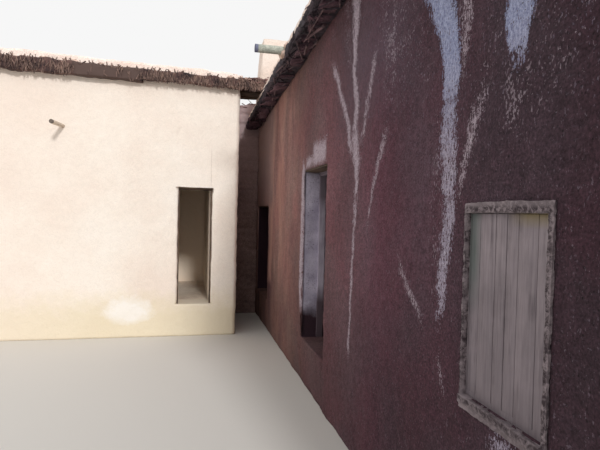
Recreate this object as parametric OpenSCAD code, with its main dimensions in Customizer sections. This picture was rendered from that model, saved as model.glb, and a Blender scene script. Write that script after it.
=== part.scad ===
// Adobe house of two flat-roofed wings round the corner of a court.
// The right wing runs along the court, the left wing closes it at the far end,
// and a narrow alley between them is bridged by two logs that carry roof.
// X runs to the right, Y away along the right wing, Z up. Millimetres.
// The house is drawn from the near corner of the right wing's court face and
// then set with the middle of its box over the origin, lowest ground at z = 0.

/* [Walls] */
// thickness of the adobe walls
wall_t = 450; // [300:10:600]
// height of the base course, which is also the floor level inside
floor_z = 520; // [200:10:800]
// rounding of the outer corners worn by rain
corner_r = 70; // [20:5:150]
// rounding of the door jambs' outer edges
jamb_r = 30; // [10:5:60]
// thickness of the wall's outer skin that closes the ends of the roof poles
skin_t = 120; // [80:5:180]
// thickness of the beaten earth floors
floor_t = 100; // [60:10:200]

/* [Right wing] */
// length along the court
rw_len = 10300; // [9800:50:14000]
// depth from court face to back face
rw_depth = 3900; // [3000:50:5000]
// height of the brush layer's underside at the near end
rw_height = 4270; // [3600:10:4600]
// fall of the roof towards the far end, per metre
rw_fall = 55; // [0:5:60]

/* [Left wing] */
// length of the facade from its far end to the alley
lw_len = 4835; // [3600:5:8000]
// depth from facade to back face
lw_depth = 3150; // [2600:10:4500]
// fall of the roof towards the alley, per metre
lw_fall = 25; // [0:5:40]

/* [Alley] */
// width between the two wings
alley_w = 565; // [400:5:1200]
// depth from the facade plane to the closing wall, which stands in line with
// the right wing's far end wall
alley_d = 1750; // [1000:10:2200]
// height of the closing wall
closing_h = 4150; // [3000:10:4600]

/* [Window] */
// near edge of the window opening from the wing's near end
win_y = 1480; // [900:5:2500]
// width of the opening
win_w = 636; // [500:2:900]
// height of the opening
win_h = 956; // [800:2:1300]
// height of the opening's lower edge
win_z = 1142; // [900:2:1300]
// depth of the shutters behind the wall face
win_in = 18; // [5:1:60]
// how far the plaster band round the window stands out
surround_out = 12; // [6:1:25]
// how far its sill stands out
sill_out = 22; // [12:1:50]
// thickness of the shutter frame
win_frame = 28; // [20:1:45]

/* [Doors] */
// near edge of the court door from the wing's near end
door_y = 4775; // [4200:5:5000]
// width of the court door
door_w = 1015; // [800:5:1200]
// height of the court door
door_h = 2030; // [1800:10:2200]
// distance of the low doorway in the alley from the far end wall's inner face
low_stub = 100; // [50:10:400]
// width of the low doorway
low_w = 1290; // [800:10:1350]
// height of the low doorway
low_h = 1620; // [1400:10:1800]
// width of the pier between the facade's door and the alley
pier_w = 425; // [400:5:800]
// width of the facade's door
ldoor_w = 540; // [480:2:900]
// height of the facade's door
ldoor_h = 1880; // [1700:10:2100]
// thickness of the plank lintels
lintel_t = 80; // [60:5:120]
// bearing of a lintel on each side
lintel_b = 220; // [150:10:300]
// thickness of the mud coat over the lintels' outer ends
coat_t = 20; // [10:1:40]
// height of a lintel's outer edge that the coat leaves bare over a door
coat_up = 18; // [5:1:40]
// width of the door posts, across the opening
post_w = 45; // [30:1:80]
// depth of the door posts, into the wall
post_d = 70; // [50:5:100]

/* [Roof] */
// diameter of the roof poles
pole_d = 120; // [80:5:160]
// distance between the roof poles
pole_pitch = 480; // [350:10:700]
// thickness of the brush layer
brush_t = 110; // [60:5:200]
// thickness of the mud over the brush
mud_t = 45; // [35:5:200]
// height of the mud kerb along the roofs' edges
kerb_h = 30; // [10:5:80]
// width of that kerb at its foot
kerb_w = 150; // [120:5:250]
// overhang of the brush over the court on the right wing
eave = 250; // [150:10:350]
// overhang of the brush on the other sides
edge = 120; // [60:10:200]
// how far the brush's ends hang down over the long part of the facade
brush_hang = 80; // [20:5:120]
// distance of the mud's edge behind the brush's edge
mud_back = 45; // [20:5:80]
// diameter of the logs over the alley
log_d = 90; // [70:5:160]
// thickness of the mud pad that those logs lie on, on the right wing's roof
log_pad = 15; // [10:5:60]
// depth that the logs are bedded in that pad
log_bed = 15; // [5:5:30]
// bearing of those logs on each wing
log_b = 300; // [200:10:330]

/* [Spout] */
// distance of the rain spout from the wing's near end
spout_y = 5970; // [5800:10:6300]
// outer diameter of the spout
spout_d = 100; // [80:2:125]
// wall thickness of the spout
spout_wall = 5; // [4:1:8]
// reach of the spout beyond the brush edge
spout_out = 365; // [200:5:450]
// depth of the spout's middle below the roof's surface
spout_low = 38; // [30:2:60]

/* [Stack] */
// distance of the roof stack behind the roof over the alley
stack_back = 300; // [60:10:400]
// how far the stack's foot stands out over the court wall's face
stack_over = 140; // [0:10:200]
// depth of the stack along the wing
stack_d = 500; // [400:10:700]
// width of the stack at its foot
stack_w = 900; // [700:10:1200]
// height of the stack's top above the ground
stack_top = 5190; // [4700:10:5400]
// lean of the stack's sides, per metre of height
stack_batter = 80; // [50:10:250]

/* [Peg] */
// distance of the wall peg from the facade's corner at the alley
peg_x = 2700; // [2300:10:3200]
// height of the wall peg
peg_z = 3288; // [2800:1:3600]
// diameter of the wall peg
peg_d = 62; // [35:1:80]
// reach of the wall peg
peg_out = 375; // [120:5:420]

/* [Hidden] */
$fn = 48;
// clearance round pieces with curved seats
clear = 0.3;
fall = rw_fall / 1000;
function rw_under(y) = rw_height - fall * y;
function rw_top(y) = rw_under(y) + brush_t + mud_t;
// poles touch a sloping plane, so their centre stands off by a little more
pole_r = pole_d / 2;
pole_off = pole_r / cos(atan(fall)) + 0.05;
rw_drop = 2 * pole_off;
lw_x1 = -alley_w;
lw_x0 = -alley_w - lw_len;
close_y = rw_len - wall_t;
lw_y0 = close_y - alley_d;
lw_y1 = lw_y0 + lw_depth;
low_y = close_y - low_stub - low_w;
stack_y = lw_y0 + wall_t + stack_back;
ldoor_x1 = lw_x1 - pier_w;
ldoor_x0 = ldoor_x1 - ldoor_w;
// logs over the alley lie under the brush, behind the facade's skin, and reach
// over the right wing's roof, which so sets the height of the left wing
log_y = [lw_y0 + skin_t + log_d / 2 + 5, lw_y0 + wall_t - log_d / 2 - 5];
log_bottom = rw_top(lw_y0 + skin_t) + log_pad;
log_top = log_bottom + log_d;
lw_height = log_top;
lfall = lw_fall / 1000;
function lw_under(x) = lw_height + lfall * (lw_x1 - x);
lpole_off = pole_r / cos(atan(lfall)) + 0.05;
// the box of the whole house, for its place over the origin
box_x0 = lw_x0 - edge;
box_x1 = rw_depth + edge;
box_y0 = -edge;
box_y1 = max(lw_y1, rw_len) + edge;
mid_x = (box_x0 + box_x1) / 2;
mid_y = (box_y0 + box_y1) / 2;
// longer and higher than any wall, for cuts that go right through
far = 20000;

mud_colour = [0.42, 0.27, 0.22];
court_colour = [0.36, 0.22, 0.19];
facade_colour = [0.86, 0.74, 0.62];
base_colour = [0.45, 0.31, 0.26];
wood_colour = [0.33, 0.25, 0.19];
brush_colour = [0.24, 0.17, 0.13];
roof_colour = [0.62, 0.45, 0.37];
lime_colour = [0.80, 0.77, 0.76];
shutter_colour = [0.78, 0.76, 0.72];
pipe_colour = [0.55, 0.60, 0.58];

// everything is placed by this one move
module place() {
    translate([-mid_x, -mid_y, 0]) children();
}

// a plain block between two corners
module block(x0, x1, y0, y1, z0, z1) {
    translate([x0, y0, z0]) cube([x1 - x0, y1 - y0, z1 - z0]);
}

// a profile drawn in Y and Z and drawn out along X
module along_x(x0, x1) {
    translate([x0, 0, 0]) rotate([90, 0, 90]) linear_extrude(height = x1 - x0) children();
}

// a profile drawn in X and Z and drawn out along Y
module along_y(y0, y1) {
    translate([0, y1, 0]) rotate([90, 0, 0]) linear_extrude(height = y1 - y0) children();
}

// what rain and use take off an outer corner, up to a height:
// sx and sy say which way the corner points
module corner_wear(x, y, sx, sy, r = corner_r, top = far) {
    translate([x, y, -1]) linear_extrude(height = top + 1) scale([sx, sy]) difference() {
        translate([-r, -r]) square(r + 20);
        translate([-r, -r]) circle(r);
    }
}

// a stretch of wall along the right wing with its sloping head;
// drop lowers the head, as where the poles lie on it
module sloped_run(x0, x1, y0, y1, z0, drop) {
    along_x(x0, x1) polygon([
        [y0, z0], [y1, z0], [y1, rw_under(y1) - drop], [y0, rw_under(y0) - drop]
    ]);
}

// a long wall of the right wing: skin up to the brush, the rest up to the poles,
// and full height again where it crosses the wing's end walls
module pole_wall(x_out, dir, y0, y1, z0) {
    x_skin = x_out + dir * skin_t;
    x_in = x_out + dir * wall_t;
    a0 = max(y0, wall_t);
    a1 = min(y1, rw_len - wall_t);
    sloped_run(min(x_out, x_skin), max(x_out, x_skin), y0, y1, z0, 0);
    sloped_run(min(x_skin, x_in), max(x_skin, x_in), a0, a1, z0, rw_drop);
    if (y0 < a0) sloped_run(min(x_skin, x_in), max(x_skin, x_in), y0, a0, z0, 0);
    if (y1 > a1) sloped_run(min(x_skin, x_in), max(x_skin, x_in), a1, y1, z0, 0);
}

// a stretch of the left wing with its head falling towards the alley,
// between two heights over the brush's underside, or over z0 where that is given
module left_run(x0, x1, y0, y1, low, high, z0 = undef) {
    along_y(y0, y1) polygon([
        [x0, is_undef(z0) ? lw_under(x0) + low : z0],
        [x1, is_undef(z0) ? lw_under(x1) + low : z0],
        [x1, lw_under(x1) + high], [x0, lw_under(x0) + high]
    ]);
}

// a long wall of the left wing, with the same shelf for its poles
module left_pole_wall(y_out, dir, x0, x1, z0) {
    y_skin = y_out + dir * skin_t;
    y_in = y_out + dir * wall_t;
    s0 = min(y_skin, y_in);
    s1 = max(y_skin, y_in);
    left_run(x0, x1, min(y_out, y_skin), max(y_out, y_skin), 0, 0, z0);
    a0 = min(max(x0, lw_x0 + wall_t), x1);
    a1 = max(min(x1, lw_x1 - wall_t), a0);
    if (a1 > a0) left_run(a0, a1, s0, s1, 0, -2 * lpole_off, z0);
    if (a0 > x0) left_run(x0, a0, s0, s1, 0, 0, z0);
    if (x1 > a1) left_run(a1, x1, s0, s1, 0, 0, z0);
}

// a low kerb of mud along +Y, its outer side at x = 0 and worn to a slope inside
module kerb(length) {
    along_y(0, length)
        polygon([[12, -20], [kerb_w, -20], [kerb_w - 70, kerb_h], [38, kerb_h]]);
}

// the same along +X, its inner side towards +Y
module cross_kerb(length) mirror([1, -1, 0]) kerb(length);

// The right wing

module right_base() color(base_colour) place() difference() {
    block(0, rw_depth, 0, rw_len, 0, floor_z);
    block(wall_t, rw_depth - wall_t, wall_t, rw_len - wall_t, -1, floor_z + 1);
    corner_wear(0, 0, -1, -1);
    corner_wear(rw_depth, 0, 1, -1);
    corner_wear(rw_depth, rw_len, 1, 1);
}

module right_floor() color(mud_colour) place()
    block(wall_t, rw_depth - wall_t, wall_t, rw_len - wall_t, floor_z - floor_t, floor_z);

// the slot for a lintel, behind the wall's coat
module lintel_cut(y0, width, z) {
    block(coat_t, wall_t + 1, y0 - lintel_b, y0 + width + lintel_b, z, z + lintel_t);
}

// the coat that runs down over a lintel's face
module lintel_coat(y0, width, z) {
    block(0, coat_t, y0, y0 + width, z + coat_up, z + lintel_t + 1);
}

module right_wall_near() color(court_colour) place() difference() {
    pole_wall(0, 1, 0, door_y, floor_z);
    block(-1, wall_t + 1, win_y, win_y + win_w, win_z, win_z + win_h);
    lintel_cut(win_y, win_w, win_z + win_h);
    lintel_cut(door_y, door_w, floor_z + door_h);
    corner_wear(0, 0, -1, -1);
    corner_wear(0, door_y, -1, 1, jamb_r, floor_z + door_h);
}

module right_wall_middle() color(court_colour) place() difference() {
    pole_wall(0, 1, door_y + door_w, low_y, floor_z);
    lintel_cut(door_y, door_w, floor_z + door_h);
    lintel_cut(low_y, low_w, floor_z + low_h);
    corner_wear(0, door_y + door_w, -1, -1, jamb_r, floor_z + door_h);
    corner_wear(0, low_y, -1, 1, jamb_r, floor_z + low_h);
}

module right_wall_far() color(court_colour) place() difference() {
    pole_wall(0, 1, low_y + low_w, rw_len, floor_z);
    lintel_cut(low_y, low_w, floor_z + low_h);
    corner_wear(0, low_y + low_w, -1, -1, jamb_r, floor_z + low_h);
}

module right_wall_over_door() color(court_colour) place() union() {
    pole_wall(0, 1, door_y, door_y + door_w, floor_z + door_h + lintel_t);
    lintel_coat(door_y, door_w, floor_z + door_h);
}

module right_wall_over_low_door() color(court_colour) place() union() {
    pole_wall(0, 1, low_y, low_y + low_w, floor_z + low_h + lintel_t);
    lintel_coat(low_y, low_w, floor_z + low_h);
}

module right_back_wall() color(court_colour) place() difference() {
    pole_wall(rw_depth, -1, 0, rw_len, floor_z);
    corner_wear(rw_depth, 0, 1, -1);
    corner_wear(rw_depth, rw_len, 1, 1);
}

module right_near_end_wall() color(court_colour) place()
    sloped_run(wall_t, rw_depth - wall_t, 0, wall_t, floor_z, 0);

module right_far_end_wall() color(court_colour) place()
    sloped_run(wall_t, rw_depth - wall_t, rw_len - wall_t, rw_len, floor_z, 0);

// a lintel is three rough planks side by side through the wall
plank_gap = 6;
plank = (wall_t - coat_t - 2 * plank_gap) / 3;
module planks(y0, y1, z) {
    for (i = [0:2]) {
        x = coat_t + i * (plank + plank_gap);
        block(x, x + plank, y0, y1, z, z + lintel_t);
    }
}

module right_door_lintel() color(wood_colour) place()
    planks(door_y - lintel_b, door_y + door_w + lintel_b, floor_z + door_h);

module low_door_lintel() color(wood_colour) place()
    planks(low_y - lintel_b, low_y + low_w + lintel_b, floor_z + low_h);

module window_lintel() color(wood_colour) place()
    planks(win_y - lintel_b, win_y + win_w + lintel_b, win_z + win_h);

module right_door_frame() color(wood_colour) place() difference() {
    block(200, 200 + post_d, door_y, door_y + door_w, floor_z, floor_z + door_h);
    block(199, 201 + post_d, door_y + post_w, door_y + door_w - post_w, floor_z - 1,
          floor_z + door_h - post_w);
}

// plaster smeared round the window by hand: a band on the wall, broad at the head
// and the sill and with no side quite plumb, run back in the reveal to the frame
module window_surround() color(lime_colour) place() difference() {
    y1 = win_y + win_w;
    z1 = win_z + win_h;
    union() {
        along_x(-surround_out, 0) polygon([
            [win_y - 12, win_z - 74], [win_y + 0.6 * win_w, win_z - 70], [y1 + 24, win_z - 72],
            [y1 + 16, win_z + 0.5 * win_h], [y1 + 10, z1 + 22], [win_y + 0.4 * win_w, z1 + 27],
            [win_y - 18, z1 + 24], [win_y - 12, win_z + 0.4 * win_h]
        ]);
        block(-sill_out, 0, win_y - 4, y1 + 14, win_z - 30, win_z + win_frame - 2);
        block(0, win_in, win_y, y1, win_z, z1);
    }
    block(-far, win_in + 1, win_y + win_frame - 8, y1 - win_frame + 8, win_z + win_frame - 2,
          z1 - win_frame + 2);
}

module window_frame() color(shutter_colour) place() difference() {
    block(win_in, win_in + 60, win_y, win_y + win_w, win_z, win_z + win_h);
    block(win_in - 1, win_in + 61, win_y + win_frame, win_y + win_w - win_frame,
          win_z + win_frame, win_z + win_h - win_frame);
}

// one leaf of the shutter: three upright boards with open joints on a backing,
// held by two battens behind, measured from its meeting edge
leaf_gap = 2;
leaf_w = win_w / 2 - win_frame - leaf_gap / 2 - clear;
board_joints = [0.28 * leaf_w, 0.72 * leaf_w];
module shutter_leaf() {
    h = win_h - 2 * win_frame - leaf_gap - clear;
    translate([win_in, 0, win_z + win_frame + clear]) {
        difference() {
            cube([22, leaf_w, h]);
            for (y = board_joints) translate([-1, y - 3, -1]) cube([9, 6, h + 2]);
        }
        for (z = [0.14 * h, 0.86 * h - 60])
            translate([22, 20, z]) cube([16, leaf_w - 40, 60]);
    }
}

module window_leaf_near() color(shutter_colour) place()
    translate([0, win_y + win_w / 2 - leaf_gap / 2, 0]) mirror([0, 1, 0]) shutter_leaf();

module window_leaf_far() color(shutter_colour) place()
    translate([0, win_y + win_w / 2 + leaf_gap / 2, 0]) shutter_leaf();

// poles lie across the wing, let into the shelf behind the skins
rw_poles = floor((rw_len - 2 * wall_t - pole_d) / pole_pitch);
module right_roof_poles() color(wood_colour) place()
    for (i = [0:rw_poles]) {
        span = rw_len - 2 * wall_t - 2 * pole_d;
        y = wall_t + pole_d + span * i / rw_poles;
        translate([skin_t, y, rw_under(y) - pole_off]) rotate([0, 90, 0])
            cylinder(h = rw_depth - 2 * skin_t, r = pole_r);
    }

// a layer of the right roof between two heights over the brush's underside;
// it overhangs the court as far as the closing wall, and the other sides a little
module roof_layer(z0, z1, back) {
    y0 = back - edge;
    y1 = rw_len + edge - back;
    difference() {
        along_x(back - eave, rw_depth + edge - back) polygon([
            [y0, rw_under(y0) + z0], [y1, rw_under(y1) + z0],
            [y1, rw_under(y1) + z1], [y0, rw_under(y0) + z1]
        ]);
        block(-far, 0, close_y, far, 0, far);
    }
}

// the spout lies in the brush and the mud, and a trench leads on to its inlet
spout_z = rw_top(spout_y) - spout_low;
spout_in = 300;
trench = 150;
module spout_axis(r, extra = 0) {
    translate([-eave - spout_out, spout_y, spout_z]) rotate([0, 90, 0])
        cylinder(h = spout_out + eave + spout_in + extra, r = r);
}

module right_roof_brush() color(brush_colour) place() difference() {
    roof_layer(0, brush_t, 0);
    spout_axis(spout_d / 2 + clear, trench);
}

// the mud has a kerb on every side but the court's far half, where water leaves it,
// and a shallow bowl at the spout
module right_roof_mud() color(roof_colour) place() difference() {
    x0 = mud_back - eave;
    x1 = rw_depth + edge - mud_back;
    y0 = mud_back - edge;
    y1 = rw_len + edge - mud_back;
    slope = [-atan(fall), 0, 0];
    along = 1 / cos(atan(fall));
    union() {
        roof_layer(brush_t, brush_t + mud_t, mud_back);
        translate([x0, y0 + 40, rw_top(y0 + 40)]) rotate(slope)
            kerb((spout_y - 2.5 * spout_d - y0) * along);
        translate([x1, y0 + 40, rw_top(y0 + 40)]) rotate(slope) mirror([1, 0, 0])
            kerb((y1 - y0 - 80) * along);
        translate([x0 + 15, y0, rw_top(y0)]) cross_kerb(x1 - x0 - 30);
        translate([15, y1, rw_top(y1)]) mirror([0, 1, 0]) cross_kerb(x1 - 30);
    }
    spout_axis(spout_d / 2 + clear, trench);
    translate([spout_in + 1.8 * spout_d, spout_y, rw_top(spout_y) - 0.6 * mud_t])
        cylinder(h = 4 * mud_t, r = 2.2 * spout_d);
}

module rain_spout() color(pipe_colour) place() difference() {
    spout_axis(spout_d / 2);
    translate([-1, 0, 0]) spout_axis(spout_d / 2 - spout_wall, 2);
}

module roof_stack() color(facade_colour) place() difference() {
    base = rw_top(stack_y);
    h = stack_top - base + 60;
    plumb = 0.45 * h;
    lean = stack_batter / 1000 * (h - plumb);
    translate([-stack_over, 0, base - 60]) intersection() {
        along_y(stack_y, stack_y + stack_d) polygon([
            [0, 0], [stack_w, 0], [stack_w, plumb], [stack_w - lean, h], [lean, h], [0, plumb]
        ]);
        along_x(0, stack_w) polygon([
            [stack_y, 0], [stack_y + stack_d, 0],
            [stack_y + stack_d - lean / 2, h], [stack_y + lean / 2, h]
        ]);
    }
    along_x(-far, far) polygon([
        [0, 0], [rw_len, 0], [rw_len, rw_top(rw_len)], [0, rw_top(0)]
    ]);
}

// The left wing

module left_base() color(base_colour) place() difference() {
    block(lw_x0, lw_x1, lw_y0, lw_y1, 0, floor_z);
    block(lw_x0 + wall_t, lw_x1 - wall_t, lw_y0 + wall_t, lw_y1 - wall_t, -1, floor_z + 1);
    corner_wear(lw_x0, lw_y0, -1, -1);
    corner_wear(lw_x0, lw_y1, -1, 1);
    corner_wear(lw_x1, lw_y0, 1, -1);
    corner_wear(lw_x1, lw_y1, 1, 1);
}

module left_floor() color(mud_colour) place()
    block(lw_x0 + wall_t, lw_x1 - wall_t, lw_y0 + wall_t, lw_y1 - wall_t,
          floor_z - floor_t, floor_z);

module left_lintel_cut() {
    block(ldoor_x0 - lintel_b, ldoor_x1 + lintel_b, lw_y0 + coat_t, lw_y0 + wall_t + 1,
          floor_z + ldoor_h, floor_z + ldoor_h + lintel_t);
}

module left_facade_long() color(facade_colour) place() difference() {
    left_pole_wall(lw_y0, 1, lw_x0, ldoor_x0, floor_z);
    left_lintel_cut();
    corner_wear(lw_x0, lw_y0, -1, -1);
    corner_wear(ldoor_x0, lw_y0, 1, -1, jamb_r, floor_z + ldoor_h);
}

module left_facade_pier() color(facade_colour) place() difference() {
    left_pole_wall(lw_y0, 1, ldoor_x1, lw_x1, floor_z);
    left_lintel_cut();
    corner_wear(lw_x1, lw_y0, 1, -1);
    corner_wear(ldoor_x1, lw_y0, -1, -1, jamb_r, floor_z + ldoor_h);
    block(lw_x1 - log_b, lw_x1 + 1, lw_y0 + skin_t, lw_y0 + wall_t + 1, log_bottom, far);
}

module left_facade_over_door() color(facade_colour) place() union() {
    left_pole_wall(lw_y0, 1, ldoor_x0, ldoor_x1, floor_z + ldoor_h + lintel_t);
    block(ldoor_x0, ldoor_x1, lw_y0, lw_y0 + coat_t,
          floor_z + ldoor_h + coat_up, floor_z + ldoor_h + lintel_t + 1);
}

module left_back_wall() color(facade_colour) place() difference() {
    left_pole_wall(lw_y1, -1, lw_x0, lw_x1, floor_z);
    corner_wear(lw_x0, lw_y1, -1, 1);
    corner_wear(lw_x1, lw_y1, 1, 1);
}

module left_end_wall() color(facade_colour) place()
    left_run(lw_x0, lw_x0 + wall_t, lw_y0 + wall_t, lw_y1 - wall_t, 0, 0, floor_z);

module left_alley_wall() color(facade_colour) place()
    left_run(lw_x1 - wall_t, lw_x1, lw_y0 + wall_t, lw_y1 - wall_t, 0, 0, floor_z);

module left_door_lintel() color(wood_colour) place()
    for (i = [0:2]) {
        y = lw_y0 + coat_t + i * (plank + plank_gap);
        block(ldoor_x0 - lintel_b, ldoor_x1 + lintel_b, y, y + plank,
              floor_z + ldoor_h, floor_z + ldoor_h + lintel_t);
    }

module left_door_frame() color(wood_colour) place() difference() {
    block(ldoor_x0, ldoor_x1, lw_y0 + 60, lw_y0 + 60 + post_d, floor_z, floor_z + ldoor_h);
    block(ldoor_x0 + post_w / 2, ldoor_x1 - post_w / 2, lw_y0 + 59, lw_y0 + 61 + post_d,
          floor_z - 1, floor_z + ldoor_h - post_w / 2);
}

// these poles lie from the facade to the back wall, between the two side walls
lw_poles = floor((lw_len - 2 * wall_t - pole_d) / pole_pitch);
module left_roof_poles() color(wood_colour) place()
    for (i = [0:lw_poles]) {
        span = lw_len - 2 * wall_t - 2 * pole_d;
        x = lw_x0 + wall_t + pole_d + span * i / lw_poles;
        translate([x, lw_y1 - skin_t, lw_under(x) - lpole_off]) rotate([90, 0, 0])
            cylinder(h = lw_depth - 2 * skin_t, r = pole_r);
    }

// its ends droop over the facade, least near the alley
module left_roof_brush() color(brush_colour) place() union() {
    x_less = lw_x1 - 0.32 * lw_len;
    left_run(lw_x0 - edge, lw_x1, lw_y0 - edge, lw_y1 + edge, 0, brush_t);
    left_run(lw_x0 - edge, x_less, lw_y0 - edge, lw_y0, -brush_hang, 1);
    left_run(x_less, lw_x1, lw_y0 - edge, lw_y0, -0.45 * brush_hang, 1);
}

// open towards the alley, where the roof falls, with a kerb on the other sides
module left_roof_mud() color(roof_colour) place() {
    x0 = lw_x0 - edge + mud_back;
    y0 = lw_y0 - edge + mud_back;
    y1 = lw_y1 + edge - mud_back;
    x_in = x0 + 40;
    length = lw_x1 - 80 - x_in;
    z0 = lw_under(x_in) + brush_t + mud_t;
    slope = [0, atan(lfall), 0];
    union() {
        left_run(x0, lw_x1, y0, y1, brush_t, brush_t + mud_t);
        translate([x_in, y0, z0]) rotate(slope) cross_kerb(length);
        translate([x_in, y1, z0]) rotate(slope) mirror([0, 1, 0]) cross_kerb(length);
        translate([x0, y0 + 15, z0]) kerb(y1 - y0 - 30);
    }
}

// a pole's stub that stands out of the wall almost level, cut off by the wall's face
module left_wall_peg() color(wood_colour) place() difference() {
    translate([lw_x1 - peg_x, lw_y0, peg_z]) rotate([89, 0, -12])
        translate([0, 0, -60]) cylinder(h = peg_out + 60, r = peg_d / 2);
    block(lw_x0, lw_x1, lw_y0, lw_y0 + wall_t, 0, far);
}

// The alley

module alley_closing_wall() color(court_colour) place()
    block(lw_x1, 0, close_y, close_y + wall_t, 0, closing_h);

module alley_logs() color(wood_colour) place()
    for (y = log_y) translate([lw_x1 - log_b + 2, y, log_bottom + log_d / 2]) rotate([0, 90, 0])
        cylinder(h = alley_w + 2 * log_b - 4, r = log_d / 2);

// mud pad on the right wing's roof with a groove for each log
module alley_log_pad() color(roof_colour) place() difference() {
    y0 = lw_y0 + skin_t;
    y1 = lw_y0 + wall_t;
    along_x(0, log_b) polygon([
        [y0, rw_top(y0)], [y1, rw_top(y1)], [y1, log_bottom + log_bed], [y0, log_bottom + log_bed]
    ]);
    for (y = log_y) translate([-1, y, log_bottom + log_d / 2]) rotate([0, 90, 0])
        cylinder(h = log_b + 2, r = log_d / 2 + clear);
}

module alley_brush() color(brush_colour) place()
    block(lw_x1, log_b, lw_y0 - edge, lw_y0 + wall_t, lw_height, lw_height + brush_t);

module alley_mud() color(roof_colour) place()
    block(lw_x1, log_b - mud_back, lw_y0 - edge + mud_back, lw_y0 + wall_t - mud_back,
          lw_height + brush_t, lw_height + brush_t + mud_t);

right_base();
right_floor();
right_wall_near();
right_wall_middle();
right_wall_far();
right_wall_over_door();
right_wall_over_low_door();
right_back_wall();
right_near_end_wall();
right_far_end_wall();
right_door_lintel();
low_door_lintel();
window_lintel();
right_door_frame();
window_surround();
window_frame();
window_leaf_near();
window_leaf_far();
right_roof_poles();
right_roof_brush();
right_roof_mud();
rain_spout();
roof_stack();
left_base();
left_floor();
left_facade_long();
left_facade_pier();
left_facade_over_door();
left_back_wall();
left_end_wall();
left_alley_wall();
left_door_lintel();
left_door_frame();
left_roof_poles();
left_roof_brush();
left_roof_mud();
left_wall_peg();
alley_closing_wall();
alley_logs();
alley_log_pad();
alley_brush();
alley_mud();
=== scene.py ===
import math
import random

import bmesh
import bpy
from mathutils import Matrix, Vector, kdtree, noise


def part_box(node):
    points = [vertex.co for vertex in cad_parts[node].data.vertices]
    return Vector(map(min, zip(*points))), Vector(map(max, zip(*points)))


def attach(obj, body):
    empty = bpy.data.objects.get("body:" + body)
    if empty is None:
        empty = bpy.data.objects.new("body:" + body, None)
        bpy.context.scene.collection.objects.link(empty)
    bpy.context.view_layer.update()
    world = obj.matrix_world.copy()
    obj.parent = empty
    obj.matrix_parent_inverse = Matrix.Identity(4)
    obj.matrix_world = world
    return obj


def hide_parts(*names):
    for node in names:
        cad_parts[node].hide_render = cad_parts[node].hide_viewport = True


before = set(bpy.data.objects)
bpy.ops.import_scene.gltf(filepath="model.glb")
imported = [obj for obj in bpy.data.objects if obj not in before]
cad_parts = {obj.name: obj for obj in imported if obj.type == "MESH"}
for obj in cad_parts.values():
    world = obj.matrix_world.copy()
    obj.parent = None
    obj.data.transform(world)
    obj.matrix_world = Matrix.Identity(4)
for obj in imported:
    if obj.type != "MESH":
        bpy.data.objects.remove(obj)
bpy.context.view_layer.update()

scene = bpy.context.scene
scene.view_settings.view_transform = "Standard"

# The camera stands in the court, 1.4 m from the right wing's wall and 2.05 m up,
# and looks along that wall, turned a little towards it and held slightly askew.
# Its lens of 30 mm on a width of 36 mm sees 62 degrees from side to side.
# Places along the house are counted from the right wing's near court corner.
CORNER = Vector((0.750, -5.625, 0.0))
eye = CORNER + Vector((-1.400, -0.200, 2.050))
yaw, pitch, roll = math.radians(12.84), math.radians(-1.40), math.radians(1.40)
ahead = Vector((math.sin(yaw) * math.cos(pitch), math.cos(yaw) * math.cos(pitch), math.sin(pitch)))
side = ahead.cross(Vector((0, 0, 1))).normalized()
up = side.cross(ahead)
side, up = side * math.cos(roll) + up * math.sin(roll), up * math.cos(roll) - side * math.sin(roll)
camera_data = bpy.data.cameras.new("court_camera")
camera_data.sensor_width = 36.0
camera_data.lens = 30.0
camera_data.clip_start = 0.05
camera_data.clip_end = 200
camera = bpy.data.objects.new("court_camera", camera_data)
camera.matrix_world = Matrix.Translation(eye) @ Matrix((side, up, -ahead)).transposed().to_4x4()
scene.collection.objects.link(camera)
scene.camera = camera


# The right wing's walls: sun-dried adobe blocks under one thick coat of mud and
# chopped straw, thrown on and wiped by hand. The base, the walls and the coat that
# runs over the lintels' outer ends are one skin, so they are made as one piece.
def gather(bm, part):
    # the part's mesh joins the piece's, and the part is let go
    loose = bpy.data.meshes.new("part")
    part.to_mesh(loose)
    part.free()
    bm.from_mesh(loose)
    bpy.data.meshes.remove(loose)


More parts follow.
